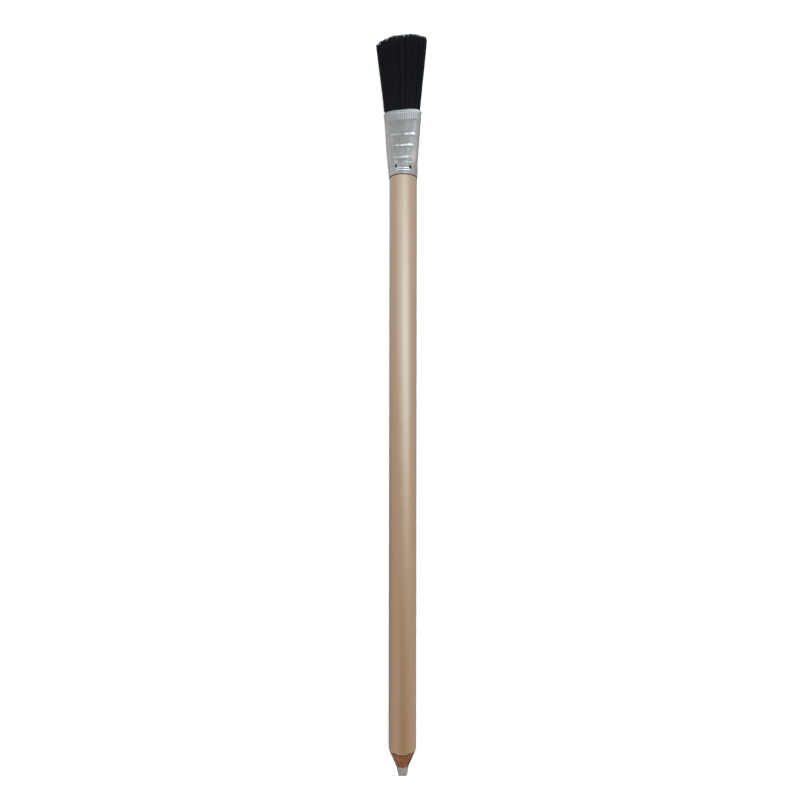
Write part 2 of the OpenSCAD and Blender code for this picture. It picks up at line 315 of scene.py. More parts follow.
def casing_wood():
    """Reddish-brown pencil wood with grain along it, cut across by the sharpener."""
    material, tree, shader = new_material("casing_wood", Specular_IOR_Level=0.1)
    dark, middle, pale = (0.150, 0.042, 0.018), (0.245, 0.078, 0.033), (0.340, 0.140, 0.070)
    fibre_colour = (0.075, 0.024, 0.012)
    ring_colour = (0.090, 0.030, 0.016)
    side_shade_colour = (0.040, 0.036, 0.034)
    seam_colour = (0.46, 0.215, 0.150)
    stain_and_shade_colour = (0.022, 0.008, 0.005)
    grain = noise(tree, (0.10, 1.6, 1.6), detail=5.0, roughness=0.6)
    fibre = noise(tree, (0.5, 12, 12), detail=3.0)
    rings = noise(tree, (5.0, 0.25, 0.25), detail=2.0)
    colour = ramp(tree, grain, (0.30, dark), (0.52, middle), (0.72, pale))
    colour = mix(tree, ramp(tree, fibre, (0.42, 0.55), (0.62, 0.0)), colour, fibre_colour)
    colour = mix(tree, ramp(tree, rings, (0.52, 0.0), (0.66, 0.45)), colour, ring_colour)
    # Painted shade: the wood darkens away from the top of the cone, towards its sides
    colour = mix(tree, painted(tree, "side_shade"), colour, side_shade_colour)
    colour = mix(tree, painted(tree, "seam"), colour, seam_colour)
    # Dark streaks up the cone, and a painted shadow under the lacquer's edge
    colour = mix(tree, painted(tree, "stain_and_shade"), colour, stain_and_shade_colour)
    rough = ramp(tree, fibre, (0.3, 0.62), (0.7, 0.82))
    connect(tree, shader, Base_Color=colour, Roughness=rough)
    bump(tree, shader, (fibre, 0.03, 0.6), (rings, 0.03, 0.5))
    return material


def eraser_rubber():
    """Grey rubber with pumice grains, its end and the side beside it painted darker as painted shade."""
    material, tree, shader = new_material("eraser_rubber", Specular_IOR_Level=0.15)
    deep, pale = (0.170, 0.137, 0.128), (0.248, 0.201, 0.188)
    grain_colour = (0.38, 0.315, 0.30)
    speck_colour = (0.05, 0.048, 0.045)
    rubber_end_shade_colour = (0.062, 0.054, 0.052)
    cloud = noise(tree, (0.7, 0.9, 0.9), detail=3.0)
    grit = noise(tree, (9, 9, 9), detail=2.0)
    speck = noise(tree, (17, 17, 17), detail=0.0)
    colour = ramp(tree, cloud, (0.35, deep), (0.65, pale))
    colour = mix(tree, ramp(tree, grit, (0.56, 0.0), (0.66, 0.6)), colour, grain_colour)
    colour = mix(tree, ramp(tree, speck, (0.66, 0.0), (0.72, 0.75)), colour, speck_colour)
    # Painted shade: the end face and the side beside its edge are darkened
    colour = mix(tree, painted(tree, "rubber_end_shade"), colour, rubber_end_shade_colour)
    rough = ramp(tree, grit, (0.3, 0.78), (0.7, 0.95))
    connect(tree, shader, Base_Color=colour, Roughness=rough)
    bump(tree, shader, (cloud, 0.10, 0.4), (grit, 0.05, 0.7))
    return material


def ferrule_metal():
    """Thin drawn aluminium: painted brighter on worn crests and with painted highlights in places,
    dulled in others, darkened in its marks by painted shade.
    """
    material, tree, shader = new_material("ferrule_metal", Metallic=1.0)
    deep, pale = (0.277, 0.269, 0.270), (0.320, 0.311, 0.312)
    bright = (0.64, 0.61, 0.615)
    grime_and_shade_colour = (0.012, 0.011, 0.010)
    matte_rough = (0.50, 0.50, 0.50)
    drawn = noise(tree, (0.25, 7.0, 7.0), detail=4.0)
    cloud = noise(tree, (0.5, 0.5, 0.5), detail=3.0)
    colour = ramp(tree, cloud, (0.35, deep), (0.65, pale))
    # Worn crests with painted highlights: brighter metal mixed in on the right and in patches
    colour = mix(tree, painted(tree, "rubbed_and_highlight"), colour, bright)
    # Painted shade: darker in the stakes, knurl notches and pricks, at the rim and on the sides, with
    # dark blotches
    colour = mix(tree, painted(tree, "grime_and_shade"), colour, grime_and_shade_colour)
    rough = ramp(tree, drawn, (0.3, 0.25), (0.7, 0.34))
    rough = mix(tree, painted(tree, "matte"), rough, matte_rough)
    connect(tree, shader, Base_Color=colour, Roughness=rough)
    bump(tree, shader, (drawn, 0.008, 0.2), (cloud, 0.05, 0.06))
    return material


def resin():
    """Amber casting resin, a little cloudy."""
    material, tree, shader = new_material("resin", Coat_Weight=0.3, Coat_Roughness=0.1)
    deep, pale = (0.36, 0.24, 0.085), (0.52, 0.38, 0.17)
    cloud = noise(tree, (0.6, 0.6, 0.6), detail=3.0)
    colour = ramp(tree, cloud, (0.3, deep), (0.7, pale))
    rough = ramp(tree, cloud, (0.3, 0.25), (0.7, 0.4))
    connect(tree, shader, Base_Color=colour, Roughness=rough)
    bump(tree, shader, (cloud, 0.05, 0.3))
    return material


def bristle_black():
    """Black nylon bristle, each a shade of its own, paler on the cut ends."""
    material, tree, shader = new_material("bristle_black", Specular_IOR_Level=0.09)
    dark, middle, cut_end = (0.0012, 0.0010, 0.0020), (0.0024, 0.0020, 0.0036), (0.006, 0.005, 0.007)
    scuff = noise(tree, (1.5, 12, 12), detail=2.0)
    colour = ramp(tree, painted(tree, "shade"), (0.0, dark), (0.8, middle), (1.0, cut_end))
    rough = ramp(tree, scuff, (0.3, 0.42), (0.7, 0.62))
    connect(tree, shader, Base_Color=colour, Roughness=rough)
    bump(tree, shader, (scuff, 0.01, 0.3))
    return material


def floor_white():
    """Plain pale table that glows a little more far from the pencil, where the lamps reach less."""
    material, tree, shader = new_material(
        "floor_white",
        Roughness=0.9,
        Specular_IOR_Level=0.1,
        Emission_Color=(1.0, 1.0, 1.0, 1.0),
    )
    deep, pale = (0.96, 0.93, 0.92), (0.97, 0.94, 0.93)
    away = add_node(tree, "VectorMath", {0: object_place(tree)}, operation="LENGTH").outputs["Value"]
    glow = remap(tree, away, 0.15, 0.8, start=0.1, end=0.6)
    tone = noise(tree, (0.02, 0.02, 0.02), detail=2.0)
    colour = ramp(tree, tone, (0.3, deep), (0.7, pale))
    connect(tree, shader, Base_Color=colour, Emission_Strength=glow)
    return material


# Lacquer

BARREL_SIDES = 192
# The sharpener went in aslant, so the cut edge lies further back on one side: that side's angle in
# degrees, and the edge's least retreat, its slant and its ripple
HIGH_SIDE = -10
EDGE_LEAST = 0.12
EDGE_ASLANT = 0.6
EDGE_RIPPLE = 0.045
# Chips out of the lacquer's cut edge: angle, half width in degrees, and depth along the barrel
EDGE_CHIPS = [
    (27, 7, 0.25), (13, 4, 0.10), (-33, 4, 0.18), (-46, 6, 0.26), (78, 10, 0.30),
    (122, 6, 0.16), (165, 12, 0.34), (-85, 9, 0.22), (-128, 13, 0.36), (-160, 5, 0.20),
]
# Bevel that the sharpener leaves on the film, and how far back the bevel and the ragged edge reach
FILM_BEVEL = 0.28
BEVEL_REACH = 0.7
RAGGED_REACH = 5.0
# How much the film thins at its two ends, and the gap that it leaves to the ferrule's rim
CUT_THINNING = 0.03
END_THINNING = 0.05
FILM_GAP = 0.10


def edge_retreat(angle):
    """How far the lacquer's cut edge lies behind the cone at an angle."""
    aslant = EDGE_ASLANT * np.maximum(0, np.cos(angle - math.radians(HIGH_SIDE))) ** 0.6
    total = EDGE_LEAST + aslant + EDGE_RIPPLE * ripple(angle, seed=3, waves=9, most_turns=40)
    for centre, half_width, depth in EDGE_CHIPS:
        total = total + depth * bump_at(turn_between(angle, centre), 0, half_width)
    return np.maximum(total, 0.0)


def build_lacquer():
    """The paint film: a thin tube with a ragged cut edge at the cone."""
    angle = np.arange(BARREL_SIDES)[None, :] / BARREL_SIDES * ROUND
    film_len = RIM_X - CUT_X - FILM_GAP
    edge_rows = np.array([0, 0.05, 0.16, 0.35, BEVEL_REACH, 1.2, 2.0])
    barrel_rows = np.linspace(RAGGED_REACH, film_len - 3, 60)
    end_rows = film_len - np.array([1, 0.25, 0.08, 0])
    steps = np.concatenate([edge_rows, barrel_rows, end_rows])
    fade = 1 - smooth_step(steps, BEVEL_REACH, RAGGED_REACH)
    shift = fade[:, None] * edge_retreat(angle)
    outer_r = np.full(len(steps), BARREL_R)
    outer_r[0] -= CUT_THINNING
    outer_r[-1] -= END_THINNING
    outer = round_points(CUT_X + steps[:, None] + shift, outer_r[:, None], angle)
    inner_x = CUT_X + steps - FILM_BEVEL * np.clip(1 - steps / BEVEL_REACH, 0, 1)
    inner = round_points(inner_x[:, None] + shift, WOOD_R, angle)
    points = np.concatenate([outer, inner[::-1]])
    faces = grid_faces(len(points), BARREL_SIDES, wrap_rows=True)
    material = pearl_lacquer()
    piece = make_piece("lacquer_film", points, faces, material, "lacquer_coat", sharp=40)

    # The bare cut shows the paler undercoat in places, and least on the high side
    shown = np.clip(0.5 + 0.45 * ripple(angle, seed=4, waves=6, most_turns=16), 0.1, 0.9)
    shown = shown * (1 - 0.65 * bump_at(turn_between(angle, HIGH_SIDE), -4, 20))
    on_cut = np.zeros(len(steps))
    on_cut[:2] = 1.0, 0.6
    on_cut = np.concatenate([on_cut, on_cut[::-1]])[:, None]
    paint_points(piece, "cut", on_cut * shown)


# Casing

SLAT_SIDES = 96
SLAT_GAP = 0.03  # half the gap at the seam, in degrees
CONE_ROWS = 30
# The sharpener's turns on the cone: their depth and rate along it, their unevenness, and its hollow
TURN_DEPTH = 0.012
TURN_RATE = 9.0
TURN_RIPPLE = 0.010
CONE_HOLLOW = 0.02
# How far back the wood ends on the high side, and the ripple of its end
WOOD_ASLANT = 0.35
WOOD_RIPPLE = 0.05
# Width of the painted shadow along the lacquer's edge
EDGE_SHADOW_W = 0.2
# Dark streaks up the cone: angle, half width in degrees, strength, and reach from the wood's end
SIDE_STAINS = [(20, 4.5, 0.55, 2.7), (-57, 7, 0.6, 4.0)]


def paint_casing(piece, sweep, along, from_end):
    """Stores the pale streaks beside the seam, the painted shade of the far sides, and the dark streaks
    and painted shadow under the lacquer's edge of a slat.
    """
    uneven = 1.5 * ripple(sweep, seed=12, waves=6, most_turns=3, along=along, least_pitch=1.5)
    from_streak = turn_between(sweep, SEAM_ANGLE - 12) + uneven
    pale_spot = 0.12 + 0.34 * bump_at(from_end, 2.9, 0.7)
    pale_side = 0.16 * bump_at(turn_between(sweep, SEAM_ANGLE + 13), 0, 11)
    paint_points(piece, "seam", pale_spot * bump_at(from_streak, 1.0, 3.5) + pale_side)

    from_high_side = turn_between(sweep, HIGH_SIDE)
    # Painted shade: the top of the cone stays lit, and the sides turn darker
    top_lit = bump_at(from_high_side, 0, 54) * np.ones_like(along)
    paint_points(piece, "side_shade", 0.55 * (1 - top_lit))

    # Painted shadow on the wood under the lacquer's edge, stronger near the top, joined below by dark
    # streaks up the cone
    film_x = CUT_X + edge_retreat(sweep) - FILM_BEVEL
    edge_shadow = 0.55 + 0.3 * bump_at(from_high_side, 0, 35)
    stain_and_shade = edge_shadow * bump_at(along, film_x - 0.1, EDGE_SHADOW_W)
    for centre, half_width, strength, reach in SIDE_STAINS:
        streak = bump_at(turn_between(sweep, centre), 0, half_width)
        stain_and_shade = stain_and_shade + strength * streak * (1 - smooth_step(from_end, reach, reach + 0.9))
    paint_points(piece, "stain_and_shade", np.clip(stain_and_shade, 0, 0.85))


def build_casing(name, node, start, material):
    """One slat of the casing: sharpened cone, barrel, shoulder and tenon."""
    sweep = np.linspace(start + SLAT_GAP, start + 180 - SLAT_GAP, SLAT_SIDES + 1)
    sweep = np.radians(sweep)[None, :]
    cone_r = np.linspace(BORE_R, WOOD_R, CONE_ROWS)
    cone_x = CUT_X + CONE_BACK - (BARREL_R - cone_r) / CONE_SLOPE
    # Rows lie close together where the ragged lacquer can leave the wood bare
    bared_x = CUT_X + np.linspace(-0.1, 1.9, 21)
    barrel = [(place, WOOD_R) for place in (*bared_x, CUT_X + 5, RIM_X - 5, RIM_X)]
    tenon_r = RIM_R - WALL - TENON_GAP
    tenon = [
        (RIM_X, tenon_r), (RIM_X + COLLAR_LEN, tenon_r),
        (CORE_END_X, tenon_r - TENON_TAPER), (CORE_END_X, BORE_R),
    ]
    bore = [(CORE_END_X - 5, BORE_R), (CUT_X, BORE_R)]
    profile = np.array([*zip(cone_x, cone_r), *barrel, *tenon, *bore])
    along, radius = profile[:, :1], profile[:, 1:]
    from_end = (radius - BORE_R) / CONE_SLOPE
    from_end[CONE_ROWS:] = np.inf

    # The sharpener leaves fine turns and a slightly hollow cone
    turns = TURN_DEPTH * np.sin(TURN_RATE * along + sweep)
    uneven = ripple(sweep, seed=11, waves=8, most_turns=24, along=along, least_pitch=0.5)
    turns = turns + TURN_RIPPLE * uneven
    on_cone = np.zeros_like(radius)
    on_cone[1:CONE_ROWS] = 1.0
    cut_r = radius + on_cone * (turns - CONE_HOLLOW)
    # It went in aslant, so the wood ends further back on the upper side
    aslant = WOOD_ASLANT * np.maximum(0, np.cos(sweep - math.radians(HIGH_SIDE)))
    aslant = aslant + WOOD_RIPPLE * ripple(sweep, seed=13, waves=8, most_turns=22)
    points = round_points(along + np.maximum(0, aslant - from_end), cut_r, sweep)

    rows, columns = points.shape[:2]
    faces = grid_faces(rows, columns, wrap_rows=True, wrap_columns=False)
    faces.append([row * columns for row in range(rows)])
    faces.append([row * columns + columns - 1 for row in reversed(range(rows))])
    piece = make_piece(name, points, faces, material, node, sharp=45)
    paint_casing(piece, sweep, along, from_end)


# Eraser

CORE_SIDES = 128
END_ROWS = 14
SIDE_ROWS = 30
# The tip: its radius, how far it stands towards -Y, the slant of its upper half, and that slant's turn
TIP_R = 1.2
TIP_ASIDE = 0.12
TIP_SLANT = math.radians(34)
TIP_TURN = math.radians(10)
# The chip at the tip's corner: its size across the end and up the side, and its roughness
CHIP_ACROSS = 0.56
CHIP_UP = 0.5
CHIP_ROUGH = 0.10
# Depths of the grit, of the wear under it and of the pits in the end
GRIT_FINE = 0.012
GRIT_COARSE = 0.015
WEAR = 0.02
PITS = 0.015


def chip_corner(points, rough):
    """Cuts the tip's corner towards -Y down to a rough slope."""
    lean = math.atan2(CHIP_ACROSS, CHIP_UP)
    slope = np.array([
        -math.sin(lean) * math.cos(TIP_SLANT), -math.cos(lean), math.sin(lean) * math.sin(TIP_SLANT),
    ])
    corner = np.array([TIP_X, CHIP_ACROSS - TIP_R - TIP_ASIDE, AXIS_Z])
    past = np.maximum((points - corner) @ slope, 0.0)
    return points - (past * rough)[..., None] * slope


def build_core():
    """The rubber rod, with a gritty tip whose upper half is worn aslant and whose corner is chipped."""
    angle = np.arange(CORE_SIDES)[None, :] / CORE_SIDES * ROUND
    bare_len = CUT_X - (BARREL_R - CORE_R) / CONE_SLOPE - TIP_X
    rod_len = CORE_END_X - TIP_X
    widen = (CORE_R - TIP_R) / bare_len
    slant = math.tan(TIP_SLANT) * np.maximum(0, np.cos(angle + TIP_TURN))
    edge_r = TIP_R / (1 - widen * slant)
    edge_x = slant * edge_r

    # Rows of points over the end, up the bare side, and along the rod inside the wood
    end_r = np.linspace(0.06, 0.96, END_ROWS)[:, None] * edge_r
    end_x = slant * end_r
    side_x = edge_x + np.linspace(0.03, 1, SIDE_ROWS)[:, None] * (bare_len - edge_x)
    side_r = TIP_R + widen * side_x
    rod_x = np.array([bare_len + 0.3, 30.0, rod_len, rod_len])[:, None]
    rod_r = np.array([CORE_R, CORE_R, CORE_R, CORE_R / 2])[:, None]
    whole = np.ones_like(angle)
    along = np.concatenate([end_x, side_x, rod_x * whole])
    radius = np.concatenate([end_r, side_r, rod_r * whole])
    on_end = np.arange(len(along))[:, None] < END_ROWS

    worn = 1 - smooth_step(along, bare_len - 0.2, bare_len + 0.2)
    grit = GRIT_FINE * ripple(angle, seed=21, waves=14, most_turns=26, along=along, least_pitch=0.35)
    lumps = ripple(angle, seed=22, waves=5, most_turns=4, along=along, least_pitch=2.0)
    grit = grit + GRIT_COARSE * lumps
    pits = PITS * ripple(angle, seed=23, waves=10, most_turns=9, along=radius, least_pitch=0.6)
    inset = on_end * np.maximum(WEAR + pits, 0.0)
    radius = radius + ~on_end * worn * np.minimum(grit - WEAR, 0.0)
    points = round_points(TIP_X + along + inset, radius, angle)
    points[..., 1] -= TIP_ASIDE * worn * np.clip(1 - along / bare_len, 0, 1)
    rough = ripple(angle, seed=24, waves=8, most_turns=20, along=along, least_pitch=0.4)
    points = chip_corner(points, 1.0 + CHIP_ROUGH * rough)

    faces = grid_faces(len(along), CORE_SIDES) + end_caps(len(along), CORE_SIDES)
    material = eraser_rubber()
    piece = make_piece("eraser_rod", points, faces, material, "eraser_core", sharp=60)
    # Painted shade on the end face, and a little on the side beside its edge
    from_edge = along - edge_x
    from_edge = from_edge + 0.08 * ripple(angle, seed=25, waves=6, most_turns=8, along=along)
    paint_points(piece, "rubber_end_shade", np.where(on_end, 0.78, 0.30 * (1 - smooth_step(from_edge, 0.1, 0.5))))


# Ferrule

TEETH = 48
POINTS_PER_TOOTH = 7
FERRULE_SIDES = TEETH * POINTS_PER_TOOTH
EDGE_ROLL = 0.12  # radius of the rolled edges
# Lines round the rim: their heights, half width, depth, and the extra depth on the face
RIM_LINES = (0.98, 1.53)
LINE_HALF = 0.16
LINE_DEPTH = 0.024
LINE_PRESS = 0.024
# Rolled grooves: the height, then the strokes on a face by their middle, half length and depth
GROOVES = [
    (4.35, [(-0.8, 0.75, 0.03), (-2.8, 0.4, 0.015), (1.2, 0.9, 0.010)]),
    (7.78, [(-1.15, 1.4, 0.08), (-3.2, 0.7, 0.05), (0.95, 0.6, 0.045)]),
    (10.95, [(-2.3, 1.3, 0.08), (-3.6, 0.6, 0.04), (1.2, 1.15, 0.022)]),
]
# Half width of a groove, and its depth away from the strokes
GROOVE_HALF = 0.65
GROOVE_LEAST = 0.025
# Knurled bands: their lowest and highest line, and the depth of their notches
LOW_KNURL = (1.9, 3.4)
LOW_KNURL_DEPTH = 0.07
HIGH_KNURL = (15.35, 17.65)
HIGH_KNURL_DEPTH = 0.12
PRICK_DEPTH = 0.09  # of the row of pricks below the high knurl
# A pair of stake marks on each face: their height and its difference, how far they lie out from a
# middle and where that is, their half sizes, and the depth of the mark and height of its burr
STAKE_HEIGHT = 2.12
STAKE_OFFSET = 0.19
STAKE_OUT = 2.0
STAKE_TURN = -0.60
STAKE_HALF_W = 0.31
STAKE_HALF_H = 0.42
STAKE_DEPTH = 0.26
BURR_HEIGHT = 0.05
# Small dents: their depth, and how far they may stand out
DENT_DEPTH = 0.016
DENT_PROUD = 0.02
# Flare of the mouth: its size at the middle, its change across the face, and its length
FLARE = 0.045
FLARE_CHANGE = 0.015
FLARE_LEN = 0.55
# Sag of the mouth: at its middle, its shoulders and its corners, and how far down it reaches
MIDDLE_SAG = 0.06
SHOULDER_SAG = 0.18
CORNER_SAG = 0.45
SAG_REACH = 2.5
# Heights of the rows of points, closer where there are marks: from, to, count
ROW_SPANS = [
    (0.0, 0.16, 6), (0.25, 0.7, 4), (0.76, 1.8, 40), (1.85, 3.5, 32),
    *((middle - 0.8, middle + 0.8, 25) for middle, _ in GROOVES),
    (12.0, 14.9, 9), (15.0, 15.6, 14), (15.75, 17.3, 9), (17.38, 17.68, 7),
    (17.72, FERRULE_LEN - 0.16, 8), (FERRULE_LEN - 0.13, FERRULE_LEN, 6),
]
# Soft patches: painted shade over a glint, dulled metal, and painted highlights; each by strength, place
# and width across the face, and height and its spread
SHADE_PATCHES = [(0.42, -0.5, 1.6, 3.27, 0.26)]
MATTE_PATCHES = [(0.3, -0.5, 0.9, 6.0, 1.2), (0.3, -2.2, 1.0, 13.6, 1.3)]
HIGHLIGHT_PATCHES = [(0.35, -1.0, 0.7, 3.0, 0.5), (0.14, -0.5, 1.2, 6.0, 1.0)]


def half_sizes(height):
    """Half width and half thickness of the ferrule at a height above its rim."""
    taper = np.maximum(0, height - COLLAR_LEN) / (FERRULE_LEN - COLLAR_LEN)
    return RIM_R + (MOUTH_HALF_W - RIM_R) * taper, RIM_R + (MOUTH_HALF_T - RIM_R) * taper


def outline_points(share, height, inward):
    """Points round the ferrule: two flats joined by half circles, from the middle of the top face."""
    half_w, half_t = half_sizes(height)
    flat = half_w - half_t
    round_r = half_t - inward
    quarter = np.floor(4 * share)
    part = 4 * share - quarter
    part = np.where(quarter % 2 == 0, part, 1 - part)
    along = part * (flat + math.pi / 2 * round_r)
    turn = np.maximum(0, along - flat) / round_r
    down = np.where((quarter == 1) | (quarter == 2), -1, 1)
    across = np.where(quarter >= 2, -1, 1)
    side_lean = MOUTH_LEAN * smooth_step(height, 0.3, LEAN_HEIGHT)
    across_y = across * (np.minimum(along, flat) + round_r * np.sin(turn)) + side_lean
    up_z = AXIS_Z + down * round_r * np.cos(turn)
    return np.stack(np.broadcast_arrays(RIM_X + height, across_y, up_z), axis=-1)


def sag_corners(points):
    """Bends the mouth back a little at its two ends."""
    from_mouth = MOUTH_X - points[..., 0]
    aside = np.abs(points[..., 1] - MOUTH_LEAN) / MOUTH_HALF_W
    shoulder = SHOULDER_SAG * smooth_step(aside, 0.4, 0.75)
    corner = CORNER_SAG * smooth_step(aside, 0.72, 1.0)
    sag = MIDDLE_SAG + shoulder + corner
    points[..., 0] -= sag * (1 - smooth_step(from_mouth, 0, SAG_REACH))
    return points


def edge_roll(away):
    """How far a rolled edge draws in, by the distance from it."""
    return EDGE_ROLL - np.sqrt(np.maximum(0, EDGE_ROLL**2 - np.maximum(0, EDGE_ROLL - away) ** 2))


def from_tooth(share):
    """Distance from the middle of a knurl's notch, as a share of the pitch."""
    return np.abs((share * TEETH) % 1 - 0.5)


def knurl_depth(share, top, height, band, depth):
    """Depth of the notches of a knurled band, deeper on the right, where the wheel pressed harder."""
    notch = np.clip((0.30 - from_tooth(share)) / 0.15, 0, 1)
    inside = smooth_step(height, band[0], band[0] + 0.12)
    inside = inside * (1 - smooth_step(height, band[1] - 0.25, band[1]))
    uneven = ripple(share * ROUND, seed=31, waves=5, most_turns=6, along=height, least_pitch=9.0)
    press = 0.65 - 0.11 * top + 0.2 * uneven
    return depth * notch * inside * np.clip(press, 0.2, 1.1)


def groove_depth(share, top, height, index):
    """Depth of one rolled groove: shallow all round, and deeper along its strokes."""
    middle, strokes = GROOVES[index]
    middle = middle + 0.05 * ripple(share * ROUND, seed=40 + index, waves=4, most_turns=5)
    press = GROOVE_LEAST + 0.008 * ripple(share * ROUND, seed=50 + index, waves=4, most_turns=7)
    for offset, half_length, depth in strokes:
        press = press + depth * (1 - smooth_step(np.abs(top - offset) / half_length, 0.6, 1.2))
    away = np.clip((height - middle) / GROOVE_HALF, -1, 1)
    return press * (1 + np.cos(math.pi * away)) / 2


def line_depth(share, top, height):
    """Depth of the lines round the rim, pressed harder on the face."""
    lines = sum(np.clip(1 - np.abs(height - line) / LINE_HALF, 0, 1) for line in RIM_LINES)
    uneven = 0.006 * ripple(share * ROUND, seed=61, waves=4, most_turns=6)
    return lines * (LINE_DEPTH + LINE_PRESS * bump_at(top, -0.3, 1.1) + uneven)


def from_stake(top, height):
    """Distance from the middle of the nearest stake mark, as a share of its half size."""
    side = np.sign(top - STAKE_TURN)
    across = np.abs(np.abs(top - STAKE_TURN) - STAKE_OUT) / STAKE_HALF_W
    up = np.abs(height - STAKE_HEIGHT - STAKE_OFFSET * side) / STAKE_HALF_H
    return np.maximum(across, up)


def dent_depth(share, height):
    """Depth of the small dents of handling, none at the two edges."""
    dents = ripple(share * ROUND, seed=71, waves=10, most_turns=9, along=height, least_pitch=4.0)
    dents = dents * smooth_step(height, 0.3, 1.5) * smooth_step(FERRULE_LEN - height, 0.2, 1.0)
    return np.maximum(DENT_DEPTH * dents, -DENT_PROUD)


def patches(top, height, places):
    """Sum of soft patches."""
    total = 0.0
    for strength, middle, width, middle_height, spread in places:
        total = total + strength * bump_at(top, middle, width) * bump_at(height, middle_height, spread)
    return total


def ferrule_shade_and_blotches(share, top, height):
    """Darkening outside the marks: a painted shadow at the rim, painted shade along the sides and in a
    patch over a glint, and dark blotches below the high knurl.
    """
    rim = 0.8 * bump_at(height, 0.0, 0.1)
    from_middle = np.abs((share + 0.25) % 0.5 - 0.25)
    sides = (0.11 + 0.06 * np.sin(share * ROUND)) * smooth_step(from_middle, 0.15, 0.20)
    blotch = ripple(share * ROUND, seed=62, waves=9, most_turns=40, along=height, least_pitch=0.7)
    blotch = 0.45 * np.clip(blotch - 0.3, 0, 1) * smooth_step(top, -1.0, 1.0)
    blotch = blotch * bump_at(height, HIGH_KNURL[0] + 0.4, 0.6)
    return rim + sides + blotch + patches(top, height, SHADE_PATCHES)


def ferrule_scuffs(top, height):
    """How far handling has dulled the metal: at the mouth, on the right of the face, and in patches."""
    near_mouth = smooth_step(height, HIGH_KNURL[0] - 0.1, HIGH_KNURL[0] + 0.1)
    near_mouth = near_mouth * np.clip(0.7 - 0.15 * top, 0, 1)
    on_face = smooth_step(height, 6.0, 10.0) * (1 - smooth_step(height, 14.7, 15.4))
    on_face = 0.28 * on_face * (1 - smooth_step(top, -2.5, 0.6))
    return np.clip(near_mouth + on_face + patches(top, height, MATTE_PATCHES), 0, 1)


def ferrule_rubs_and_highlights(share, top, height):
    """How far the metal is painted brighter: worn crests of the high knurl, more to the right, and a
    painted highlight on the right side and in patches.
    """
    low, high = HIGH_KNURL
    in_band = smooth_step(height, low, low + 0.2) * (1 - smooth_step(height, high - 0.2, high + 0.1))
    crests = in_band * smooth_step(from_tooth(share), 0.2, 0.35)
    # Worn crests, painted brighter towards the right, and a painted highlight on the right side
    crests = crests * np.clip(0.32 - 0.125 * top, 0.05, 0.7) * (1 - smooth_step(-top, 3.7, 4.4))
    side = 0.32 * smooth_step(-top, 2.6, 3.4) * bump_at(height, 5.4, 1.9)
    return crests + side + patches(top, height, HIGHLIGHT_PATCHES)


def build_ferrule():
    """The aluminium ferrule: rolled edges, lines, knurls, grooves, stakes and small dents."""
    share = (np.arange(FERRULE_SIDES) / FERRULE_SIDES)[None, :]
    rows = [np.linspace(low, high, count) for low, high, count in ROW_SPANS]
    height = np.unique(np.round(np.concatenate(rows), 4))[:, None]
    from_mouth = FERRULE_LEN - height
    # Distance round the outline from the middle of the nearest face, below 0 on its right, brush up
    half_w, half_t = half_sizes(height)
    top = ((share + 0.25) % 0.5 - 0.25) * (4 * (half_w - half_t) + ROUND * half_t)

    flare = FLARE - FLARE_CHANGE * np.clip(top, -3, 3)
    flare = flare * np.clip(1 - from_mouth / FLARE_LEN, 0, 1)
    edges = edge_roll(height) + edge_roll(from_mouth) - flare
    grooves = sum(groove_depth(share, top, height, index) for index in range(len(GROOVES)))
    knurls = knurl_depth(share, top, height, LOW_KNURL, LOW_KNURL_DEPTH)
    knurls = knurls + knurl_depth(share, top, height, HIGH_KNURL, HIGH_KNURL_DEPTH)
    pricks = bump_at(height, HIGH_KNURL[0] - 0.05, 0.12) * bump_at(from_tooth(share), 0, 0.2)
    pricks = PRICK_DEPTH * pricks
    stake = 1 - smooth_step(from_stake(top, height), 0.75, 1.08)
    burr = BURR_HEIGHT * bump_at(from_stake(top, height), 1.25, 0.16)
    marks = line_depth(share, top, height) + grooves + knurls + pricks + STAKE_DEPTH * stake - burr
    outside = sag_corners(outline_points(share, height, edges + marks + dent_depth(share, height)))

    inner_rows = [0.0, COLLAR_LEN, *np.linspace(4, FERRULE_LEN - 0.1, 9), FERRULE_LEN]
    inner_height = np.array(inner_rows)[:, None]
    between = (inner_height > 1) & (inner_height < FERRULE_LEN - 0.5)
    inside = sag_corners(outline_points(share, inner_height, WALL + 0.02 * between))
    points = np.concatenate([outside, inside[::-1]])
    faces = grid_faces(len(points), FERRULE_SIDES, wrap_rows=True)
    material = ferrule_metal()
    piece = make_piece("ferrule_shell", points, faces, material, "ferrule", sharp=55)

    # Painted shade in the stake marks, knurl notches and pricks, at the rim and along the sides, with
    # dark blotches; the inside is painted darker too
    grime_and_shade = stake + 3.0 * knurls + 5.0 * pricks + ferrule_shade_and_blotches(share, top, height)
    coats = [
        ("grime_and_shade", np.clip(grime_and_shade, 0, 1), 0.6),
        ("matte", ferrule_scuffs(top, height), 1.0),
        ("rubbed_and_highlight", ferrule_rubs_and_highlights(share, top, height), 0.0),
    ]
    for name, outer, inner in coats:
        inner_coat = np.full(inside.shape[:2], inner)
        paint_points(piece, name, np.concatenate([outer, inner_coat]))


# Brush

# Strands: their radius, sides, spacing at the mouth, and how much they widen towards the tips
STRAND_R = 0.062
STRAND_SIDES = 5
STRAND_GAP = 0.132
STRAND_WIDEN = 0.15
# Places of the rings along a strand as shares of its length, closer together at the mouth
STRAND_STEPS = np.array([0, 0.06, 0.09, 0.13, 0.22, 0.48, 0.74, 1])
STRAND_RINGS = len(STRAND_STEPS)
ROOT_GAP = 0.1  # gap between the strands and the ferrule's wall
ROOT_DEPTH = 0.3  # depth of the roots in the slice of resin
# The fan at its tips: half width, half thickness, and how far it leans towards +Y
TIP_HALF_W = 7.12
TIP_HALF_T = 2.0
TIP_LEAN = 0.62
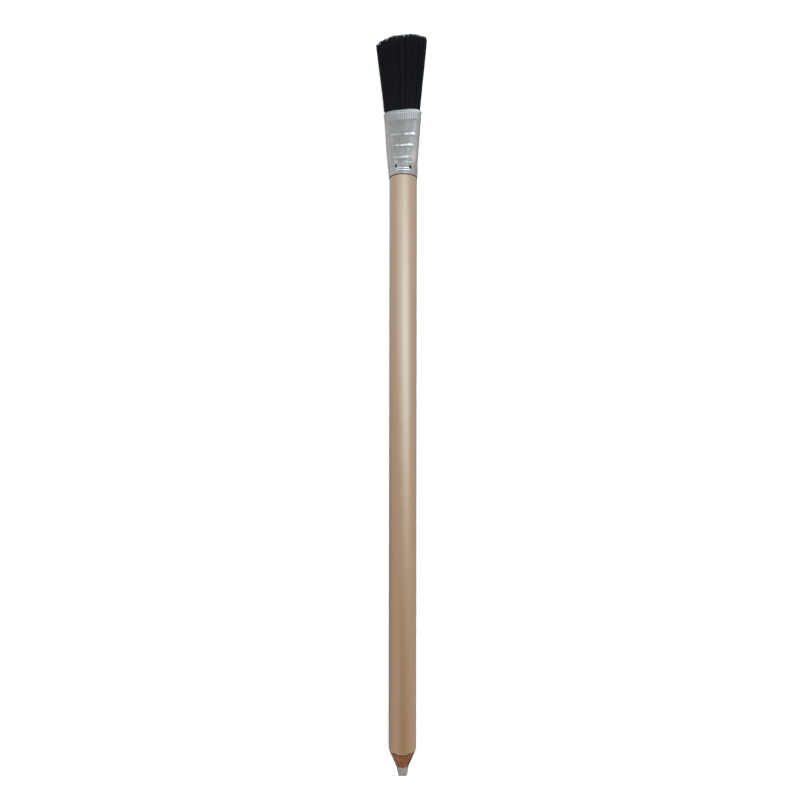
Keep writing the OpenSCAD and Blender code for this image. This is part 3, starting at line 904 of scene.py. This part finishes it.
# Locks of strands: their number, their shape across the fan, and how far they draw the tips together
LOCKS = 90
LOCK_SHAPE = (1.0, 0.45)
LOCK_PULL = np.array([0.03, 0.018])
# Room that the tips leave to the sides and to the top of the solid's box
SIDE_ROOM = 0.07
TRIM_ROOM = 0.02
TOP_ROOM = 0.005
BULGE = 0.5  # bulge of the strands over the mouth's end
# Chance of the make: in the roots' places, the tips across and through the fan, the trim, the bow of
# the strands, the slant of their cut ends, and their thickness
PLACE_JITTER = 0.02
TIP_JITTER_Y = 0.05
TIP_JITTER_Z = 0.03
TRIM_JITTER = 0.035
BOW = 0.05
END_SLANT = 0.05
THICKNESS = (0.88, 1.08)
# The trim's slopes: share of the half width where each starts, and its drop per share
RIGHT_SLOPE = (0.42, 2.0)
LEFT_SLOPE = (0.28, 2.4)
# The trim's notches: place as a share of the half width, width and depth
TRIM_NOTCHES = [(-0.82, 0.06, 0.15), (-0.24, 0.05, 0.12), (0.05, 0.035, 0.12), (0.865, 0.035, 0.5)]
# What the trim left standing at its two ends: the right end's rise, and the left end's missed strands
# by the share where they start, how many there are, and how far they stand out
RIGHT_RISE = 0.35
MISSED_FROM = 0.97
MISSED_SHARE = 0.35
MISSED_LEN = 0.7
SLICE_SIDES = 64


def strand_roots():
    """Places of the strands over the mouth, and half the width and thickness that they fill."""
    half_w = MOUTH_HALF_W - WALL - ROOT_GAP
    half_t = MOUTH_HALF_T - WALL - ROOT_GAP
    flat = half_w - half_t
    rows = np.arange(-half_t, half_t, STRAND_GAP * math.sqrt(3) / 2)
    places = []
    for index, across_z in enumerate(rows + (half_t - rows[-1]) / 2):
        start = -half_w + (index % 2) * STRAND_GAP / 2
        for across_y in np.arange(start, half_w, STRAND_GAP):
            past = max(0.0, abs(across_y) - flat)
            if math.hypot(past, across_z) < half_t:
                places.append((across_y, across_z))
    return np.array(places), np.array([half_w, half_t])


def trim_drop(across):
    """How far the trimmed edge lies below its highest line, by the share of the half width."""
    right_start, right_drop = RIGHT_SLOPE
    left_start, left_drop = LEFT_SLOPE
    drop = right_drop * np.maximum(0, -across - right_start)
    drop = drop + left_drop * np.maximum(0, across - left_start)
    drop = drop - RIGHT_RISE * smooth_step(-across, 0.88, 1.0)
    for place, width, depth in TRIM_NOTCHES:
        drop = drop + depth * bump_at(across, place, width)
    return drop


def strand_tips(random, shares):
    """Ends of the strands, which fan out with the roots, gather into locks and are trimmed."""
    count = len(shares)
    locks = random.uniform(-1, 1, (LOCKS, 2))
    gaps = ((shares[:, None, :] - locks[None]) * LOCK_SHAPE) ** 2
    nearest = locks[np.argmin(gaps.sum(axis=2), axis=1)]
    spread = shares + LOCK_PULL * (nearest - shares)
    tip_y = TIP_LEAN + spread[:, 0] * TIP_HALF_W + random.normal(0, TIP_JITTER_Y, count)
    tip_z = spread[:, 1] * TIP_HALF_T + random.normal(0, TIP_JITTER_Z, count)
    tip_y = np.clip(tip_y, tuft_low[1] + SIDE_ROOM, tuft_high[1] - SIDE_ROOM)
    across = (tip_y - TIP_LEAN) / TIP_HALF_W
    uneven = np.abs(random.normal(0, TRIM_JITTER, count))
    tip_x = tuft_high[0] - TRIM_ROOM - trim_drop(across) - uneven
    missed = (across > MISSED_FROM) & (random.uniform(0, 1, count) < MISSED_SHARE)
    tip_x = np.where(missed, tip_x + MISSED_LEN, tip_x)
    return np.stack([tip_x, tip_y, AXIS_Z + tip_z], axis=1)


def strand_lines(random, places, shares, tips):
    """Middle lines of the strands, from the resin through their places in the mouth to the tips."""
    count = len(places)
    root_x = MOUTH_X - SLICE_DEPTH - ROOT_DEPTH
    inner = ((MOUTH_X - root_x) / (tips[:, 0] - root_x))[:, None]
    mouth = np.column_stack([np.full(count, MOUTH_X), MOUTH_LEAN + places[:, 0], AXIS_Z + places[:, 1]])
    roots = (mouth - inner * tips) / (1 - inner)
    step = STRAND_STEPS[None, :, None]
    line = roots[:, None, :] + step * (tips - roots)[:, None, :]
    line[:, :, 1:] += random.normal(0, BOW, (count, 1, 2)) * np.sin(math.pi * step) ** 2
    # Outside the mouth the strands towards +Y bulge over its end
    outward = np.maximum(shares[:, :1], 0) ** 4
    outside = smooth_step(line[:, :, 0] - MOUTH_X, 0.0, 0.5)
    line[:, :, 1] += BULGE * outward * outside * (1 - STRAND_STEPS) ** 4
    return line


def strand_rings(random, line):
    """Rings of points round the lines of the strands, with each end cut a little aslant."""
    count = len(line)
    corners = np.arange(STRAND_SIDES) / STRAND_SIDES * ROUND
    turn = corners[None, :] + random.uniform(0, ROUND, (count, 1))
    ring = np.stack([np.zeros_like(turn), np.sin(turn), np.cos(turn)], axis=-1)
    radius = STRAND_R * random.uniform(*THICKNESS, (count, 1, 1, 1))
    radius = radius * (1 + STRAND_WIDEN * STRAND_STEPS[None, :, None, None])
    rings = line[:, :, None, :] + radius * ring[:, None, :, :]
    slant = random.normal(0, END_SLANT, (count, 1, 2))
    rings[:, -1, :, 0] += (ring[..., 1:] * slant).sum(axis=-1)
    rings[..., 0] = np.minimum(rings[..., 0], tuft_high[0] - TOP_ROOM)
    return rings


def build_tuft():
    """Nylon strands that fan out of the mouth in small locks, and the slice of resin at their roots."""
    random = np.random.default_rng(5)
    places, half_size = strand_roots()
    places = places + random.uniform(-PLACE_JITTER, PLACE_JITTER, places.shape)
    shares = places / half_size
    tips = strand_tips(random, shares)
    rings = strand_rings(random, strand_lines(random, places, shares, tips))
    count = len(rings)
    size = STRAND_RINGS * STRAND_SIDES
    starts = np.arange(count) * size
    faces = starts[:, None, None] + np.array(grid_faces(STRAND_RINGS, STRAND_SIDES))
    faces = faces.reshape(-1, 4).tolist()
    for start in starts.tolist():
        faces += end_caps(STRAND_RINGS, STRAND_SIDES, start)

    share = (np.arange(SLICE_SIDES) / SLICE_SIDES)[None, :]
    slice_top = FERRULE_LEN - SLICE_DEPTH
    heights = np.array([[slice_top - SLICE_LEN], [slice_top]])
    slab = outline_points(share, heights, WALL + SLICE_GAP)
    first = count * size
    faces += (first + np.array(grid_faces(2, SLICE_SIDES))).tolist()
    faces += end_caps(2, SLICE_SIDES, first)
    points = np.concatenate([rings.reshape(-1, 3), slab.reshape(-1, 3)])
    material = bristle_black()
    piece = make_piece("bristle_fan", points, faces, material, "bristle_tuft", sharp=50)

    tone = random.uniform(0.0, 0.8, (count, 1, 1)) * np.ones((1, STRAND_RINGS, STRAND_SIDES))
    tone[:, -1, :] = 1.0
    paint_points(piece, "shade", np.concatenate([tone.ravel(), np.full(2 * SLICE_SIDES, 0.3)]))


# Stage, in metres

FLOOR_HALF = 2.0
FLOOR_DROP = 0.02 * MM
COOL_LIGHT = (0.84, 1.03, 1.07)
WARM_LIGHT = (1.0, 0.97, 0.92)
BACKDROP = (0.72, 0.72, 0.72)
DARK = (0.05, 0.05, 0.05)
WARM_END = (0.50, 0.36, 0.18)
WORLD_STRENGTH = 1.4


def build_floor():
    """A wide flat table under the pencil."""
    signs = [(-1, -1), (1, -1), (1, 1), (-1, 1)]
    corners = [(across * FLOOR_HALF, along * FLOOR_HALF, -FLOOR_DROP) for across, along in signs]
    mesh = bpy.data.meshes.new("floor")
    mesh.from_pydata(corners, [], [(0, 1, 2, 3)])
    mesh.materials.append(floor_white())
    floor = bpy.data.objects.new("floor", mesh)
    floor.visible_glossy = False
    floor.visible_diffuse = False
    bpy.context.collection.objects.link(floor)


def add_light(name, place, target, size, turn, power, colour):
    """A soft rectangular light that faces a target, turned about its axis by degrees."""
    data = bpy.data.lights.new(name, "AREA")
    data.shape = "RECTANGLE"
    data.size, data.size_y = size
    data.energy = power
    data.color = colour
    light = bpy.data.objects.new(name, data)
    light.location = place
    aim = (Vector(target) - Vector(place)).to_track_quat("-Z", "X")
    light.rotation_euler = (aim @ Quaternion((0, 0, 1), math.radians(turn))).to_euler()
    bpy.context.collection.objects.link(light)


def build_camera():
    """The photograph's camera: close above the pencil, a little to one side, brush at the top."""
    tilt = math.radians(10)
    lean = 0.00145
    # In millimetres: the distance, and the place that is looked at along the pencil and aside from it
    distance = 150.0
    middle_x = 1.97
    aside = 0.80
    back = Vector((0, -math.sin(tilt), math.cos(tilt)))
    left = Vector((0, math.cos(tilt), math.sin(tilt)))
    target = (Vector((middle_x, 0, AXIS_Z)) + aside * left) * MM
    place = target + distance * MM * back
    look = (place - target).normalized()
    right = (Vector((1, 0, 0)) + lean * left).cross(look).normalized()
    matrix = Matrix((right, look.cross(right), look)).transposed().to_4x4()
    matrix.translation = place
    data = bpy.data.cameras.new("camera")
    data.lens = 24.73
    data.sensor_width = 36.0
    data.clip_start = 0.005
    camera = bpy.data.objects.new("camera", data)
    camera.matrix_world = matrix
    bpy.context.collection.objects.link(camera)
    bpy.context.scene.camera = camera


def facing(tree, direction, way):
    """How far a direction points along a way, from -1 to 1."""
    sockets = {0: direction, 1: Vector(way).normalized()}
    return add_node(tree, "VectorMath", sockets, operation="DOT_PRODUCT").outputs["Value"]


def build_world():
    """Grey surroundings: brightest at the horizon, warm towards the eraser, with two dark places."""
    world = bpy.data.worlds.new("surroundings")
    world.use_nodes = True
    tree = world.node_tree
    direction = add_node(tree, "TexCoord").outputs["Generated"]
    parts = add_node(tree, "SeparateXYZ", {"Vector": direction})
    upward = remap(tree, parts.outputs["Z"], -1.0, 1.0)
    below = (0.08, 0.42), (0.30, 0.75)
    horizon = (0.45, 0.95), (0.55, 0.95)
    above = (0.72, 0.70), (0.90, 0.48)
    tone = ramp(tree, upward, *below, *horizon, *above)
    along = remap(tree, parts.outputs["X"], -1.0, 1.0)
    tone = mix(tree, ramp(tree, along, (0.25, 0.40), (0.58, 0.0)), tone, WARM_END)
    # One dark place is a strip overhead towards the eraser, and the other lies below towards +Y
    narrow = add_node(tree, "Mapping", {"Vector": direction, "Scale": (1.0, 2.4, 1.0)}).outputs["Vector"]
    narrow = add_node(tree, "VectorMath", {0: narrow}, operation="NORMALIZE").outputs["Vector"]
    overhead = facing(tree, narrow, (-0.53, -0.35, 0.81))
    tone = mix(tree, ramp(tree, overhead, (0.45, 0.0), (0.90, 1.0)), tone, DARK)
    beneath = facing(tree, direction, (-0.35, 0.75, -0.56))
    tone = mix(tree, ramp(tree, beneath, (0.78, 0.0), (1.0, 0.8)), tone, DARK)
    # The camera itself sees a plain pale backdrop
    seen = add_node(tree, "LightPath").outputs["Is Camera Ray"]
    background = tree.nodes["Background"]
    background.inputs["Strength"].default_value = WORLD_STRENGTH
    tree.links.new(mix(tree, seen, tone, BACKDROP), background.inputs["Color"])
    bpy.context.scene.world = world


# The pencil, then its stage

build_lacquer()
wood = casing_wood()
build_casing("casing_slat_left", "casing_half_left", SEAM_ANGLE, wood)
build_casing("casing_slat_right", "casing_half_right", SEAM_ANGLE + 180, wood)
build_core()
build_ferrule()
build_tuft()
plug = bpy.data.objects["resin_plug"]
plug.data.materials.clear()
plug.data.materials.append(resin())

build_floor()
build_camera()
build_world()
add_light(
    "overhead",
    place=(0.097, -0.19, 0.42),
    target=(0.097, -0.15, 0),
    size=(1.40, 0.286),
    turn=-12,
    power=3.14,
    colour=COOL_LIGHT,
)
add_light(
    "middle",
    place=(0.085, -0.28, 0.41),
    target=(0.085, -0.24, 0),
    size=(0.49, 0.31),
    turn=-15,
    power=1.92,
    colour=COOL_LIGHT,
)
add_light(
    "fill",
    place=(-0.33, 0.24, 0.40),
    target=(-0.078, 0, 0),
    size=(0.20, 0.25),
    turn=0,
    power=0.17,
    colour=WARM_LIGHT,
)
bpy.context.scene.view_settings.view_transform = "Standard"
